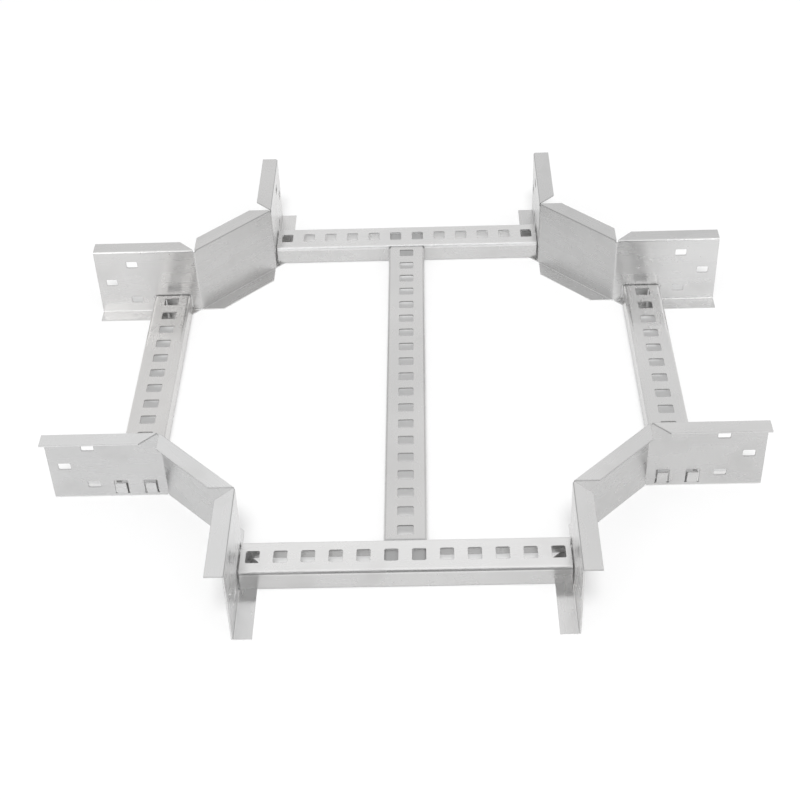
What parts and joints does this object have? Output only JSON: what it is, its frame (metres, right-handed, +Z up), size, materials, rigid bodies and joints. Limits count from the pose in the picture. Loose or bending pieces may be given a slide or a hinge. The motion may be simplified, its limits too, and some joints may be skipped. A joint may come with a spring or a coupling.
{
  "type": "cable tray cross",
  "caption": "Crossing for a ladder-type cable tray: folded and notched corner rails joined by slotted channel rungs, with joint slots at the arm ends.",
  "frame": {"origin": "centre of the cross on the floor, at the underside of the rails' bottom flanges", "axes": "+Z up out of the open side of the tray, +Y along the back arm, +X along the right arm; the centre rung runs along Y"},
  "size_m": [0.6756, 0.6756, 0.08],
  "materials": {
    "rail_metal": "bare pre-galvanised sheet steel, pale silver grey, soft blurred reflections, faint rolling lines",
    "rung_metal": "bare pre-galvanised sheet steel, pale silver grey, soft blurred reflections, faint rolling lines"
  },
  "bodies": {
    "root": {"rail_front_left": "rail_metal", "rail_front_right": "rail_metal", "rail_back_left": "rail_metal", "rail_back_right": "rail_metal", "rung_front": "rung_metal", "rung_back": "rung_metal", "rung_left": "rung_metal", "rung_right": "rung_metal", "rung_centre": "rung_metal"}
  },
  "joints": []
}
